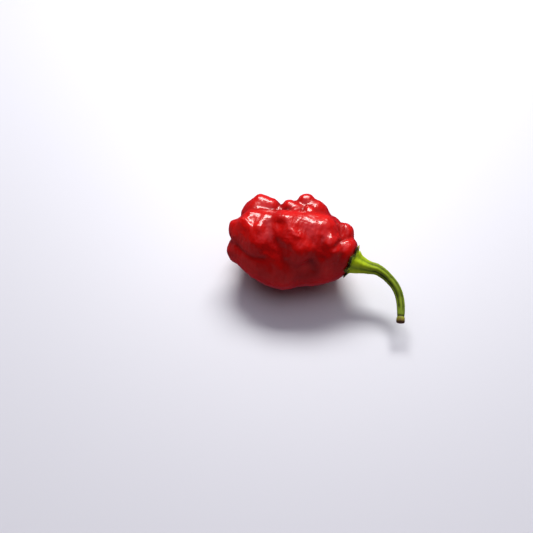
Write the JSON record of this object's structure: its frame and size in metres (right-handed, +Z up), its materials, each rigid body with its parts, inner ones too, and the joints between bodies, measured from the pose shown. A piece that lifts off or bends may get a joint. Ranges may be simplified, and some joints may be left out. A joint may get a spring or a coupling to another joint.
{
  "type": "chilli pepper",
  "caption": "Short, lumpy ripe chilli pepper lying on its side, with a ragged green calyx and a curved stem.",
  "frame": {"origin": "middle of the flat spot under the pod that it lies on", "axes": "+X along the pod from its blossom end to its calyx, +Z up from the surface it lies on"},
  "size_m": [0.0628, 0.0313, 0.0285],
  "materials": {
    "red_skin": "glossy waxy red skin with fine wrinkles",
    "calyx_green": "matt green, dark brown at its ragged edge",
    "stem_green": "satin green with faint ridges along it"
  },
  "bodies": {
    "root": {"pod": "red_skin", "calyx": "calyx_green", "stem": "stem_green"}
  },
  "joints": []
}
